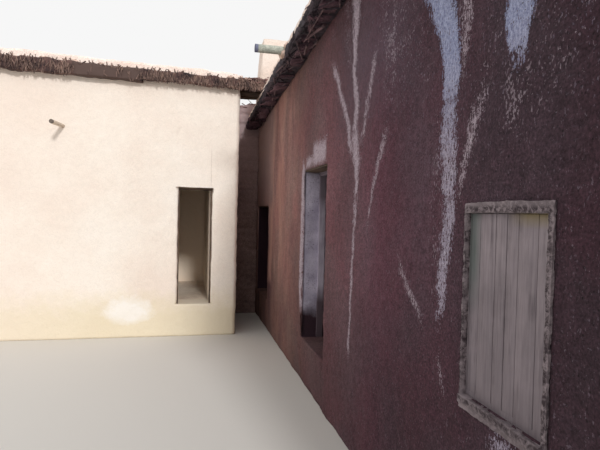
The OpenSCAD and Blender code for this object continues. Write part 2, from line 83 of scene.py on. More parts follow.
def masonry(nodes, marks=(), pitch=0.30):
    # the touching solids of one body of masonry, cut into cells along every edge
    # that one of them or an opening has, without the faces where they touch
    bm = bmesh.new()
    for node in nodes:
        part = bmesh.new()
        part.from_mesh(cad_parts[node].data)
        bmesh.ops.remove_doubles(part, verts=part.verts, dist=0.0002)
        bmesh.ops.dissolve_limit(part, angle_limit=0.005, verts=part.verts, edges=part.edges)
        gather(bm, part)
    straight, thinnest, touching = 0.05, 0.004, 0.0006
    planes = [{round(corner[axis], 4) for node in [*nodes, *marks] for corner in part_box(node)}
              for axis in range(3)]
    for edge in bm.edges:
        # a straight edge ends where a worn corner's round begins
        way = edge.verts[1].co - edge.verts[0].co
        for axis in (0, 1):
            if way.length > straight and abs(way[axis]) > 0.9999 * way.length:
                planes[axis] |= {round(vert.co[axis], 4) for vert in edge.verts}
    for axis in range(3):
        edges = sorted(planes[axis])
        places = edges[:1]
        for value in edges[1:]:
            if value - places[-1] > thinnest:
                steps = max(1, round((value - places[-1]) / pitch))
                start = places[-1]
                places += [start + (value - start) * (i + 1) / steps for i in range(steps)]
        for value in places[1:-1]:
            square = Vector([float(i == axis) for i in range(3)])
            bmesh.ops.bisect_plane(bm, geom=bm.verts[:] + bm.edges[:] + bm.faces[:], dist=0.0001,
                                   plane_co=square * value, plane_no=square)
    # flat faces' edges that lie in none of the cuts are leftover diagonals
    bm.normal_update()
    diagonals = []
    for edge in bm.edges:
        way, out = (edge.verts[0].co - edge.verts[1].co).normalized(), edge.link_faces[0].normal
        cut = any(abs(way[axis]) < 0.001 and abs(out[axis]) < 0.9 for axis in range(3))
        if edge.calc_face_angle(1.0) < 0.002 and not cut:
            diagonals.append(edge)
    bmesh.ops.dissolve_edges(bm, edges=diagonals, use_verts=True)
    faces = bm.faces[:]
    tree = kdtree.KDTree(len(faces))
    for i, face in enumerate(faces):
        tree.insert(face.calc_center_median(), i)
    tree.balance()
    inner = set()
    for i, face in enumerate(faces):
        for _, j, _ in tree.find_range(face.calc_center_median(), touching):
            uneven = abs(face.calc_area() - faces[j].calc_area())
            opposite = j != i and face.normal.dot(faces[j].normal) < -0.99
            if opposite and uneven < 0.002 * face.calc_area() + 1e-6:
                inner.add(face)
    bmesh.ops.delete(bm, geom=list(inner), context="FACES")
    bmesh.ops.remove_doubles(bm, verts=bm.verts, dist=0.0004)
    # a face that hangs on by one side only is half of a pair that merging has joined
    stray = [face for face in bm.faces if sum(edge.is_boundary for edge in face.edges) > 1]
    bmesh.ops.delete(bm, geom=stray, context="FACES")
    return bm


def split(bm, longest, chosen=lambda face: True):
    # the chosen faces' cells into smaller ones, until no edge is longer
    while True:
        edges = {edge for face in bm.faces if chosen(face) for edge in face.edges
                 if edge.calc_length() > longest}
        if not edges:
            return
        bmesh.ops.subdivide_edges(bm, edges=list(edges), cuts=1, use_grid_fill=True)


def weather(bm, chosen, depth, level=True):
    # the chosen faces' corners move in or out along their own normal, and on a wall
    # only level, so that heights stay
    bm.normal_update()
    moved = {vert: vert.normal.copy() for face in bm.faces if chosen(face) for vert in face.verts}
    for vert, way in moved.items():
        if level:
            way.z = 0.0
        if way.length > 0.05:
            vert.co += way.normalized() * depth(vert.co)


def lumps(place, size, height):
    # hand-thrown mud: broad swells, palm-sized lumps and finger marks, in metres
    p = place / size
    return height * (noise.noise(p) + 0.55 * noise.noise(p * 2.9 + Vector((7, 3, 1)))
                     + 0.45 * noise.noise(p * 6.3 + Vector((2, 9, 4)))
                     + 0.40 * noise.noise(p * 13.0 + Vector((5, 5, 8))))


right_nodes = ["right_base", "right_wall_near", "right_wall_middle", "right_wall_far",
               "right_wall_over_door", "right_wall_over_low_door", "right_back_wall",
               "right_near_end_wall", "right_far_end_wall"]
right_walls = masonry(right_nodes, ["right_door_lintel", "low_door_lintel", "window_lintel",
                                    "window_frame", "right_roof_poles"])
wall_low, wall_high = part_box("right_base")
door_low, door_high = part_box("right_door_frame")
far_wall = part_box("right_far_end_wall")[0].y
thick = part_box("right_floor")[0].x - wall_low.x
window = sum(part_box("window_frame"), Vector()) / 2 - CORNER
SKIN = 0.075  # faces this near the outside are the coat's


def coated(face, low, high, door_low, door_high, along):
    # whether the face is the coat's: at the wing's outside, or a reveal of the door, whose
    # wall runs along this axis
    c, across = face.calc_center_median(), 1 - along
    rim = min(c.x - low.x, high.x - c.x, c.y - low.y, high.y - c.y)
    reveal = c[across] < low[across] + thick and abs(face.normal[along]) > 0.9 \
        and door_low[along] - 0.01 < c[along] < door_high[along] + 0.01 \
        and door_low.z < c.z < door_high.z
    return abs(face.normal.z) < 0.5 and (rim < SKIN or reveal)


def right_outside(face):
    return coated(face, wall_low, wall_high, door_low, door_high, 1)


def court_face(face):
    return face.calc_center_median().x < wall_low.x + 0.035 and right_outside(face)


def right_depth(place):
    p = place - CORNER
    move = lumps(place, 0.75, 0.011)
    # rain and feet take the most off the foot and off the door's and the wing's edges
    move -= 0.022 * max(0.0, 1 - p.z / 0.45) * (0.6 + 0.6 * noise.noise(place * 3.1))
    for edge in (0.0, door_low.y - CORNER.y, door_high.y - CORNER.y):
        near = max(0.0, 1 - abs(p.y - edge) / 0.07)
        if p.x < 0.05 and (edge == 0.0 or p.z < door_high.z + 0.05):
            move -= 0.012 * near * max(0.0, noise.noise(place * 9.0) + 0.25)
    # and the coat is pressed flat where the window's plaster laps over it
    lapped = max(abs(p.y - window.y) - 0.33, abs(p.z - window.z) - 0.50) / 0.10
    if p.x < 0.1 and lapped < 1:
        move *= max(0.15, lapped)
    return move


split(right_walls, 0.11, right_outside)
split(right_walls, 0.055, court_face)
split(right_walls, 0.034, lambda f: court_face(f) and f.calc_center_median().y < CORNER.y + 5.0)
weather(right_walls, right_outside, right_depth)


def linear(colour):
    parts = [int(colour[i:i + 2], 16) / 255 for i in (1, 3, 5)]
    return (*[c / 12.92 if c <= 0.04045 else ((c + 0.055) / 1.055) ** 2.4 for c in parts], 1.0)


def add(tree, kind, *values, ramp=(), curve=(), **named):
    # one node: its inputs are given in order or by their names, its settings in small
    # letters, and with them a ramp's stops or a curve's points; its first output is returned
    made = tree.nodes.new("ShaderNode" + kind)
    for key in [key for key in named if key.islower()]:
        setattr(made, key, named.pop(key))
    given = [*zip([socket for socket in made.inputs if socket.enabled], values),
             *[(made.inputs[key], value) for key, value in named.items()]]
    for socket, value in given:
        if isinstance(value, bpy.types.NodeSocket):
            tree.links.new(value, socket)
        else:
            socket.default_value = value
    for i, (place, colour) in enumerate(ramp):
        stop = made.color_ramp.elements[i] if i < 2 else made.color_ramp.elements.new(place)
        stop.position, stop.color = place, linear(colour)
    if curve:
        points = made.mapping.curves[0].points
        points[0].location, points[1].location = curve[0], curve[-1]
        for place in curve[1:-1]:
            points.new(*place)
        made.mapping.use_clip = False
        made.mapping.update()
    return next(socket for socket in made.outputs if socket.enabled)


def begin(name, roughness):
    # a matt material, its nodes, and places on the house for its patterns
    material = bpy.data.materials.new(name)
    material.use_nodes = True
    tree = material.node_tree
    tree.nodes["Principled BSDF"].inputs["Roughness"].default_value = roughness
    return material, tree, add(tree, "TexCoord").node.outputs["Object"]


def coat(tree, colour, height=None, strength=0.5, distance=0.004):
    # the colour goes to the shader, and so does a height that stands up from the surface
    shader = tree.nodes["Principled BSDF"]
    tree.links.new(colour, shader.inputs["Base Color"])
    if height:
        raised = add(tree, "Bump", Strength=strength, Distance=distance, Height=height)
        tree.links.new(raised, shader.inputs["Normal"])


def masked(tree, *masks, operation="MULTIPLY"):
    # masks as one: open where all of them are, or with MAXIMUM where any is; a mask may
    # be a value with the places it opens between and, if not 0 and 1, what it gives there
    masks = [add(tree, "MapRange", *mask) if isinstance(mask, tuple) else mask for mask in masks]
    made = masks[0]
    for mask in masks[1:]:
        made = add(tree, "Math", made, mask, operation=operation)
    return made


def lay(tree, colour, finish, *masks):
    # another finish over the colour, where all the masks are open
    finish = linear(finish) if isinstance(finish, str) else finish
    return add(tree, "Mix", masked(tree, *masks), colour, finish, data_type="RGBA")


def adobe(name, dark, middle, pale, straw, patch=0.9, bump=0.6, strawy=0.35, depth=1.0):
    # mud and straw, sun-dried and never painted: quite matt, with broad damp and dry
    # patches, lumps of 20 to 60 mm, a grit of 5 to 15 mm, pits where stones fell out
    # and short pale straws of about 4 by 20 mm; depth is how dark the hollows are painted as shade
    material, tree, spot = begin(name, 0.94)
    tree.nodes["Principled BSDF"].inputs["Specular IOR Level"].default_value = 0.25
    spot = add(tree, "Mapping", spot, Location=-CORNER)
    broad = add(tree, "TexNoise", spot, Scale=patch, Detail=5.0, Roughness=0.6)
    hand = add(tree, "TexNoise", spot, Scale=17.0, Detail=4.0, Roughness=0.6, Distortion=0.6)
    grit = add(tree, "TexNoise", spot, Scale=75.0, Detail=3.0, Roughness=0.6)
    cells = add(tree, "TexVoronoi", spot, Scale=34.0).node.outputs
    tone = add(tree, "MapRange", broad, 0.34, 0.68)
    colour = add(tree, "ValToRGB", tone, ramp=[(0.0, dark), (0.5, middle), (1.0, pale)])
    # painted shade: hollows are painted darker than heads, and the finest grit only a little
    hollow_shade = add(tree, "MapRange", hand, 0.30, 0.70, 1 - 0.22 * depth, 1 + 0.22 * depth)
    fine = add(tree, "MapRange", grit, 0.36, 0.64, 1 - 0.32 * depth, 1 + 0.32 * depth)
    pit = add(tree, "MapRange", cells["Distance"], 0.10, 0.24, 1 - 0.5 * depth, 1.0)
    few = add(tree, "SeparateXYZ", cells["Color"])
    few = add(tree, "Math", few, 0.12, operation="GREATER_THAN")
    pit = add(tree, "Math", pit, few, operation="MAXIMUM")
    hollow_shade = masked(tree, hollow_shade, fine, pit)
    colour = add(tree, "VectorMath", colour, hollow_shade, operation="SCALE")
    flecks = []
    for turn in (0.5, -0.9):
        laid = add(tree, "Mapping", spot, Rotation=(turn, 0.0, turn), Scale=(40.0, 15.0, 60.0))
        straws = add(tree, "TexVoronoi", laid, Scale=1.0).node.outputs
        kept = add(tree, "SeparateXYZ", straws["Color"]).node.outputs[1]
        kept = add(tree, "Math", kept, 0.72, operation="GREATER_THAN")
        flecks.append(masked(tree, (straws["Distance"], 0.26, 0.14), kept))
    flecks = masked(tree, *flecks, operation="MAXIMUM")
    colour = lay(tree, colour, straw, flecks, strawy)
    height = add(tree, "Math", hand, 2.4, operation="MULTIPLY")
    for layer, share in ((grit, 0.7), (pit, 0.9), (flecks, 0.2)):
        height = add(tree, "Math", layer, share, height, operation="MULTIPLY_ADD")
    coat(tree, colour, height, bump, 0.008)
    return material, tree, spot, colour


court, tree, spot, colour = adobe(
    "court_adobe_straw_mud", "#85645F", "#94716B", "#A07D76", "#C9B3A8", strawy=0.2, depth=1.1)
into, along, above = axes = add(tree, "SeparateXYZ", spot).node.outputs
courtside = add(tree, "MapRange", into, 0.60, 0.40)
face = add(tree, "MapRange", into, 0.06, 0.03)

# painted shade and light: the near end is painted dark, bluish and nearly maroon, as it stood
# in deep shade, and the coat is painted redder and paler along the court, where light thrown
# back from the facade fell on it; where the eave keeps rain off the wing's far end, tails of
# paler mud ran down
LONG, TALL = 10.0, 5.0  # metres of wall that ramps and curves from 0 to 1 stand for
shade_along_court = add(tree, "Math", along, 1 / LONG, operation="MULTIPLY")
shade_along_court = add(tree, "ValToRGB", shade_along_court, ramp=[
    (0.05, "#5D5B6E"), (0.20, "#82809A"), (0.33, "#A394B3"), (0.46, "#C4BACE"),
    (0.56, "#D2C8D4"), (0.66, "#FCFAFC"), (1.00, "#E6E0E0")])
tint = add(tree, "TexNoise", spot, Scale=1.4, Detail=4.0)
tint = add(tree, "ValToRGB", tint, ramp=[(0.38, "#F6FFFF"), (0.62, "#FFEDF2")])
for tone in (shade_along_court, tint):
    colour = add(tree, "VectorMath", colour, tone, operation="MULTIPLY")
# painted shade: the wall is darker under the eave, except towards the far end, and darker towards
# its foot, the more so along the court
foot_shade_low = add(tree, "MapRange", along, 4.0, 7.0, 0.66, 0.42)
shade = masked(tree, (above, 2.5, 3.7, 1.0, 0.66), (along, 5.6, 8.4), operation="MAXIMUM")
shade = masked(tree, shade, (above, 0.5, 2.0, foot_shade_low, 1.0))
colour = add(tree, "VectorMath", colour, shade, operation="SCALE")
washed = add(tree, "Mapping", spot, Scale=(2.0, 2.7, 0.8))
washed = add(tree, "TexNoise", washed, Scale=1.0, Detail=4.0, Roughness=0.6, Distortion=0.8)
colour = lay(tree, colour, "#5F484C", courtside, (washed, 0.56, 0.30), (along, 3.6, 6.0, 0.0, 0.28))
colour = lay(tree, colour, "#CE9D8B", courtside, (washed, 0.34, 0.80), (above, 0.9, 3.2, 0.5, 1.0),
             (along, 5.6, 7.2, 0.0, 0.62))
# painted light: the coat is paler and greyer at mid height before the alley's mouth, where light
# thrown back from the facade falls on it
colour = lay(tree, colour, "#C3ABA8", courtside, (along, 7.9, 8.7), (above, 1.4, 2.8, 0.0, 0.75))

# whitewash slopped over the eave ran down the wall in tails with broken edges: each
# has its middle and its half width at some heights, in metres from the near corner;
# it holds where the mud's grain stands up, so it thins out into specks
streaky = add(tree, "Mapping", spot, Scale=(80.0, 80.0, 26.0))
streaky = add(tree, "TexNoise", streaky, Scale=1.0, Detail=4.0, Roughness=0.7)
speckle = add(tree, "TexNoise", spot, Scale=80.0, Detail=3.0, Roughness=0.8)
pebbles = add(tree, "Mapping", spot, Scale=(70.0, 70.0, 50.0))
pebbles = add(tree, "TexNoise", pebbles, Scale=1.0, Detail=2.0, Distortion=0.4)
pebbles = add(tree, "MapRange", pebbles, 0.30, 0.62)
grain = add(tree, "Math", streaky, speckle, operation="ADD")
grain = add(tree, "Math", pebbles, 0.14, grain, operation="MULTIPLY_ADD")
grain = add(tree, "MapRange", grain, 0.88, 1.28)
mottle = add(tree, "Math", pebbles, 0.25, speckle, operation="MULTIPLY_ADD")
wander = add(tree, "TexNoise", spot, Scale=6.0, Detail=4.0)
clump = add(tree, "TexNoise", spot, Scale=8.0, Detail=3.0)
clump = add(tree, "MapRange", clump, 0.42, 0.62, 0.25, 1.0)
across = add(tree, "MapRange", wander, 0.2, 0.8, -0.030, 0.030)
across = add(tree, "Math", along, across, operation="ADD")
level = add(tree, "Math", above, 1 / TALL, operation="MULTIPLY")


def tail(points, cover=1.3, spread=1.0):
    # points are (height, middle, half width); cover over 1 hides the mud in the middle
    points = sorted(points)
    middle = add(tree, "FloatCurve", Value=level, curve=[(z / TALL, y / LONG) for z, y, w in points])
    width = add(tree, "FloatCurve", Value=level, curve=[(z / TALL, w) for z, y, w in points])
    width = add(tree, "Math", width, 0.01, operation="MAXIMUM")
    off = add(tree, "Math", middle, -LONG, across, operation="MULTIPLY_ADD")
    off = add(tree, "Math", off, operation="ABSOLUTE")
    off = add(tree, "Math", off, width, operation="DIVIDE")
    foot, head = points[0][0], points[-1][0]
    return masked(tree, (off, 1 + 0.75 * spread, 1 - 0.65 * spread, 0.0, cover),
                  (above, foot - 0.08, foot + 0.10), (above, head + 0.10, head - 0.08))


def away(tree, value, place):
    # how far a value is from a place, on either side
    off = add(tree, "Math", value, place, operation="SUBTRACT")
    return add(tree, "Math", off, operation="ABSOLUTE")


def beyond(tree, value, low, high):
    # how far a value is outside two places, and less than nothing between them
    return add(tree, "Math", away(tree, value, (low + high) / 2), (high - low) / 2,
               operation="SUBTRACT")


def daub(y0, y1, z0, z1, cover, soft=0.16):
    # a patch wiped on by hand between these places, with an edge that wanders
    off = add(tree, "Math", beyond(tree, along, y0, y1), beyond(tree, above, z0, z1),
              operation="MAXIMUM")
    off = add(tree, "Math", wander, 0.12, off, operation="MULTIPLY_ADD")
    return add(tree, "MapRange", off, 0.10, 0.10 - soft, 0.0, cover)


lilac_tails = [
    tail([(4.30, 2.72, 0.30), (3.60, 2.56, 0.20), (3.36, 2.465, 0.155), (3.22, 2.41, 0.125),
          (3.10, 2.365, 0.105), (3.00, 2.33, 0.10), (2.89, 2.31, 0.085), (2.76, 2.305, 0.075),
          (2.66, 2.315, 0.070)], 1.00, 0.5),
    tail([(2.74, 2.305, 0.07), (2.60, 2.325, 0.075), (2.51, 2.335, 0.09), (2.42, 2.315, 0.085),
          (2.30, 2.30, 0.07), (2.11, 2.30, 0.06)], 0.77, 0.6),
    tail([(2.20, 2.30, 0.06), (1.97, 2.29, 0.055), (1.86, 2.305, 0.05), (1.75, 2.33, 0.045),
          (1.64, 2.34, 0.04), (1.53, 2.35, 0.035), (1.45, 2.37, 0.03)], 0.76, 0.8),
    tail([(4.25, 1.75, 0.13), (3.00, 1.74, 0.095), (2.90, 1.74, 0.08), (2.80, 1.735, 0.06),
          (2.74, 1.73, 0.05)], 0.98, 0.4),
    daub(1.56, 1.86, 0.86, 1.09, 0.90),
]
pink_tails = [
    tail([(1.22, 2.35, 0.028), (1.15, 2.33, 0.026), (1.08, 2.30, 0.02)], 0.62),
    tail([(2.66, 2.00, 0.045), (2.54, 2.045, 0.045), (2.45, 2.08, 0.045), (2.36, 2.13, 0.04),
          (2.26, 2.17, 0.03), (2.15, 2.19, 0.025)], 0.62),
    tail([(4.20, 2.14, 0.10), (3.16, 2.16, 0.055), (2.98, 2.175, 0.04), (2.79, 2.19, 0.025)], 0.58),
    # the three-fold tail before the court door and its lone neighbours
    tail([(4.05, 3.98, 0.12), (3.72, 3.94, 0.085), (3.50, 3.95, 0.055), (3.29, 3.95, 0.048),
          (3.02, 3.90, 0.050), (2.86, 3.91, 0.052), (2.72, 3.93, 0.060)], 0.92),
    tail([(2.78, 3.92, 0.058), (2.60, 3.89, 0.085), (2.51, 3.86, 0.070), (2.38, 3.85, 0.050),
          (2.17, 3.86, 0.04)], 0.96),
    tail([(2.20, 3.86, 0.038), (1.57, 3.89, 0.028), (1.39, 3.90, 0.026), (0.95, 3.94, 0.022),
          (0.80, 3.93, 0.02)], 0.78),
    tail([(3.50, 4.59, 0.080), (3.34, 4.45, 0.060), (3.17, 4.34, 0.055), (3.00, 4.20, 0.052),
          (2.85, 4.10, 0.052), (2.70, 4.04, 0.05), (2.55, 3.99, 0.04)], 0.86),
    tail([(3.30, 3.46, 0.05), (3.18, 3.51, 0.052), (3.07, 3.57, 0.050), (2.97, 3.63, 0.050),
          (2.86, 3.665, 0.048), (2.76, 3.69, 0.045), (2.62, 3.76, 0.045)], 0.64),
    tail([(2.66, 3.23, 0.050), (2.53, 3.30, 0.048), (2.42, 3.37, 0.045), (2.31, 3.425, 0.038),
          (2.16, 3.48, 0.032), (1.97, 3.56, 0.024)], 0.64),
    tail([(1.74, 2.905, 0.035), (1.66, 2.84, 0.045), (1.56, 2.74, 0.05), (1.46, 2.63, 0.038),
          (1.39, 2.575, 0.025)], 0.60),
    # the worn lime round the court door
    tail([(2.66, 5.83, 0.07), (1.80, 5.84, 0.06), (0.85, 5.83, 0.05)], 1.1),
    daub(4.80, 5.72, 2.57, 2.73, 1.40),
    daub(4.80, 5.36, 2.58, 2.86, 1.35),
]
# and thin splashes of specks lie beside and below the tails
specks = [
    tail([(2.76, 1.73, 0.07), (2.58, 1.73, 0.085), (2.40, 1.74, 0.07)], 0.85),
    tail([(4.25, 0.90, 0.16), (2.95, 1.10, 0.12), (2.75, 1.30, 0.07)], 0.55),
    tail([(2.75, 0.70, 0.12), (2.45, 0.95, 0.10), (2.20, 1.20, 0.06)], 0.45),
    tail([(2.85, 1.36, 0.08), (2.77, 1.40, 0.07), (2.70, 1.47, 0.07), (2.62, 1.53, 0.07),
          (2.55, 1.58, 0.07), (2.45, 1.69, 0.06)], 0.5),
    tail([(2.95, 1.86, 0.06), (2.86, 1.91, 0.06), (2.78, 1.97, 0.06), (2.66, 2.00, 0.06)], 0.5),
    tail([(3.22, 3.10, 0.12), (3.14, 3.00, 0.12), (3.04, 2.83, 0.11), (2.92, 2.68, 0.09),
          (2.78, 2.54, 0.06)], 0.52),
    tail([(3.66, 3.34, 0.11), (3.42, 3.25, 0.10), (3.22, 3.20, 0.07)], 0.5),
    tail([(4.25, 1.30, 0.11), (2.98, 1.33, 0.07), (2.85, 1.34, 0.05), (2.79, 1.35, 0.03)], 0.7),
    tail([(4.00, 3.14, 0.16), (3.49, 3.20, 0.14), (3.14, 3.13, 0.12), (2.85, 3.22, 0.10)], 0.8),
    tail([(4.10, 4.25, 0.12), (3.30, 4.10, 0.12)], 0.55),
    tail([(3.75, 4.12, 0.14), (3.40, 4.10, 0.10)], 0.5),
    tail([(3.90, 4.66, 0.10), (3.73, 4.65, 0.09)], 0.6),
    tail([(2.60, 2.42, 0.10), (1.90, 2.42, 0.07), (1.50, 2.38, 0.05)], 0.5),
    daub(0.8, 2.2, 2.5, 3.4, 0.40, 0.5),
    daub(2.4, 3.4, 2.6, 3.8, 0.42, 0.5),
]


def whole(covers, against, soft=0.25):
    # the tails as one mask on the court face, broken up by a noise
    cover = masked(tree, *covers, operation="MAXIMUM")
    cover = add(tree, "Math", cover, against, operation="SUBTRACT")
    return masked(tree, (cover, -0.2 * soft, 0.8 * soft), face)


# painted shade: the wall is painted greyer and bluer high up round the three-fold tail, under the
# eave
colour = lay(tree, colour, "#5B525E", daub(2.6, 4.5, 2.7, 3.9, 0.55, 0.8))
# painted shade: the lime of the tails is painted lilac-grey, as white lime looks in shade
lilac = add(tree, "ValToRGB", mottle, ramp=[(0.44, "#6A6F90"), (0.80, "#AFB5D2")])
dusty = add(tree, "ValToRGB", mottle, ramp=[(0.44, "#7E6D77"), (0.80, "#CBBDC7")])
lilac = lay(tree, lilac, dusty, (above, 2.95, 2.35, 0.0, 0.7))
sparse = add(tree, "Math", pebbles, clump, operation="DIVIDE")
colour = lay(tree, colour, dusty, whole(specks, sparse, 0.30), 0.52)
colour = lay(tree, colour, dusty, whole(pink_tails, grain), 0.86)
colour = lay(tree, colour, lilac, whole(lilac_tails, grain), 0.92)
# the court door's far reveal is limewashed down to about knee height, the lime painted
# bluish-grey as it looks in shade, and grimy below; the low doorway's far reveal is painted
# nearly black as shade
reveal = add(tree, "MapRange", into, 0.52, 0.47)
court_reveal, low_reveal = door_high.y - CORNER.y, 9.77
limed = add(tree, "MapRange", away(tree, along, court_reveal), 0.05, 0.04)
low_reveal_shade = add(tree, "MapRange", away(tree, along, low_reveal), 0.06, 0.05)
colour = lay(tree, colour, "#38262E", masked(tree, limed, low_reveal_shade, operation="MAXIMUM"), reveal,
             (into, 0.015, 0.025), (above, 2.7, 2.6), (above, 0.49, 0.52))
knee = add(tree, "Math", wander, 0.25, above, operation="MULTIPLY_ADD")
peeled = add(tree, "Math", clump, -0.05, speckle, operation="MULTIPLY_ADD")
wash = add(tree, "ValToRGB", wander, ramp=[(0.30, "#A29AAE"), (0.70, "#C9C1D1")])
colour = lay(tree, colour, wash, limed, reveal, (into, 0.02, 0.04), (knee, 0.90, 1.10),
             (peeled, 0.32, 0.36))
# a worn patch before the low doorway is rubbed down to paler mud
colour = lay(tree, colour, "#BE9082", daub(8.0, 8.40, 0.85, 2.2, 0.65), face)


def indoors(tree, axes, floor):
    # the faces of the room that has this floor
    low, high = [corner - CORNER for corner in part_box(floor)]
    return masked(tree, *[add(tree, "MapRange", axes[i], wall + way * 0.010, wall + way * 0.001)
                          for i in (0, 1) for wall, way in ((low[i], -1), (high[i], 1))])


# the room is whitewashed inside
coat(tree, lay(tree, colour, "#CFC4B6", indoors(tree, axes, "right_floor")))


def stand(bm, name, material, slot, *nodes, angle=50):
    # the mesh becomes a piece that rides on the house and stands for its nodes
    mesh = bpy.data.meshes.new(name)
    bm.to_mesh(mesh)
    bm.free()
    mesh.polygons.foreach_set("use_smooth", [True] * len(mesh.polygons))
    mesh.set_sharp_from_angle(angle=math.radians(angle))
    mesh.materials.append(material)
    piece = bpy.data.objects.new(name, mesh)
    scene.collection.objects.link(piece)
    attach(piece, "root")
    if nodes:
        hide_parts(*nodes)
    return piece


stand(right_walls, "right_walls", court, "court_adobe", *right_nodes)


# The left wing's walls: the same adobe under a coat painted a paler salmon-cream, as
# it looks in full sun, smoother where the palm wiped it, with its edges worn round the door.
left_nodes = ["left_base", "left_facade_long", "left_facade_pier", "left_facade_over_door",
              "left_back_wall", "left_end_wall", "left_alley_wall"]
left_walls = masonry(left_nodes, ["left_door_lintel", "left_roof_poles", "alley_logs"])
left_low, left_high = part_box("left_base")
entry_low, entry_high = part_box("left_door_frame")


def left_outside(face):
    return coated(face, left_low, left_high, entry_low, entry_high, 0)


def left_depth(place):
    move = lumps(place + Vector((40, 0, 0)), 0.9, 0.009)
    move -= 0.018 * max(0.0, 1 - place.z / 0.4) * (0.6 + 0.6 * noise.noise(place * 3.1))
    for edge in (entry_low.x, entry_high.x, left_high.x):
        near = max(0.0, 1 - abs(place.x - edge) / 0.07)
        move -= 0.010 * near * max(0.0, noise.noise(place * 9.0) + 0.25)
    # the coat has broken off the corner under the roof
    crown = max(0.0, 1 - abs(place.x - left_high.x + 0.12) / 0.17) \
        * max(0.0, 1 - abs(place.z - 4.06) / 0.09)
    return move - 0.055 * crown * (0.7 + noise.noise(place * 14.0))


split(left_walls, 0.11, left_outside)
split(left_walls, 0.05, lambda f: f.calc_center_median().y < left_low.y + 0.035 and left_outside(f))
weather(left_walls, left_outside, left_depth)
facade, tree, spot, colour = adobe(
    "facade_adobe_painted_sunlit", "#F4E4D6", "#FAEEE1", "#FCF3E8", "#FFF6E4", patch=0.6, bump=0.5,
    strawy=0.12, depth=0.13)
along, into, above = axes = add(tree, "SeparateXYZ", spot).node.outputs
front = add(tree, "MapRange", into, 8.20, 8.15)
# a paler yellow band runs along the foot
blot = add(tree, "TexNoise", spot, Scale=4.0, Detail=6.0, Roughness=0.7)
foot = add(tree, "Math", blot, -0.7, above, operation="MULTIPLY_ADD")
colour = lay(tree, colour, "#EADCBC", (foot, 0.45, 0.0, 0.0, 0.75))
# and towards its outer end the wing is a little darker
colour = lay(tree, colour, "#F3E3D6", (along, -2.6, -5.2, 0.0, 0.6))
# a hair crack runs up from the door's head
crack = add(tree, "Math", blot, 0.05, 0.985, operation="MULTIPLY_ADD")
crack = add(tree, "Math", along, crack, operation="ADD")
crack = add(tree, "Math", crack, operation="ABSOLUTE")
colour = lay(tree, colour, "#9C8370", (crack, 0.008, 0.002, 0.0, 0.3), front, (above, 3.15, 2.95),
             (above, 2.44, 2.50))
# and a paler patch has been made good beside the door
patch = []
for value, grow, move in ((along, 3.1, 7.0), (above, 5.2, -2.3)):
    off = add(tree, "Math", value, grow, move, operation="MULTIPLY_ADD")
    patch.append(add(tree, "Math", off, 2.0, operation="POWER"))
patch = add(tree, "Math", *patch, operation="ADD")
patch = add(tree, "Math", blot, 3.0, patch, operation="MULTIPLY_ADD")
colour = lay(tree, colour, "#FFFBF6", (patch, 3.2, 1.9, 0.0, 0.75), front)
# the plaster has broken away in a ragged line along the door's lintel
ragged = add(tree, "Math", above, 2.435, operation="SUBTRACT")
ragged = add(tree, "Math", blot, 0.05, ragged, operation="MULTIPLY_ADD")
ragged = add(tree, "Math", ragged, operation="ABSOLUTE")
colour = lay(tree, colour, "#7D6350", (ragged, 0.014, 0.007, 0.0, 0.75), front,
             (away(tree, along, -1.27), 0.31, 0.29))
# inside, the room is washed with pale warm earth
coat(tree, lay(tree, colour, "#FDEBD6", indoors(tree, axes, "left_floor")))
stand(left_walls, "left_walls", facade, "facade_adobe", *left_nodes)


# The closing wall of the alley: the same adobe blocks with no coat, laid in mud in
# courses of uneven height with washed-out joints, and a heap of brush along its head.
closing = masonry(["alley_closing_wall"], pitch=0.12)
closing_low, closing_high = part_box("alley_closing_wall")
heap = closing_high.z - 0.02
joints = [0.21, 0.44, 0.73, 0.99, 1.31, 1.56, 1.72, 1.88, 2.00, 2.22, 2.48, 2.60, 2.85, 3.08,
          3.33, 3.56, 3.80, 4.00]


def course_depth(place):
    if place.z > heap:
        return 0.0
    near = min(abs(place.z - joint + 0.01 * noise.noise(place * 4)) for joint in joints)
    block = noise.cell(Vector((place.x / 0.38, 0.0, sum(place.z > joint for joint in joints))))
    return lumps(place, 0.3, 0.008) - 0.030 * max(0.0, 1 - near / 0.028) + 0.008 * block


split(closing, 0.035, lambda f: abs(f.normal.y) > 0.9 or f.normal.z > 0.9)
weather(closing, lambda f: abs(f.normal.y) > 0.9, course_depth)
for vert in closing.verts:
    if vert.co.z > heap:
        share = (vert.co.x - closing_low.x) / (closing_high.x - closing_low.x)
        vert.co.z += -0.05 + 0.12 * share + 0.05 * noise.noise(vert.co * 9.0)
bare, tree, spot, colour = adobe("alley_bare_adobe", "#7A635F", "#937974", "#A68C85", "#B39C8C")
above = add(tree, "SeparateXYZ", spot).node.outputs[2]
coat(tree, lay(tree, colour, "#B9A6A9", (above, 1.8, 3.7, 0.0, 0.6)))
stand(closing, "closing_wall", bare, "court_adobe", "alley_closing_wall")


# The roofs' brush: reeds and twigs laid over the poles a hand deep and packed down,
# so that only their ragged ends show under the eaves. Their colours are painted light and
# shade: on the court side nearly black and bluish, as the eave looks in shade, and on the
# facade browner, with painted highlights and darker gaps, as they look in sun.
def stems(bm, twigs, sides=4):
    # twigs that taper from start to end, each with its radius, added by the bundle
    tied = 80
    for first in range(0, len(twigs), tied):
        bundle = bmesh.new()
        for start, end, radius in twigs[first:first + tied]:
            way = end - start
            turn = way.to_track_quat("Z", "Y").to_matrix().to_4x4()
            bmesh.ops.create_cone(bundle, cap_ends=True, segments=sides, radius1=radius,
                                  radius2=radius * 0.6, depth=way.length,
                                  matrix=Matrix.Translation((start + end) / 2) @ turn)
        gather(bm, bundle)


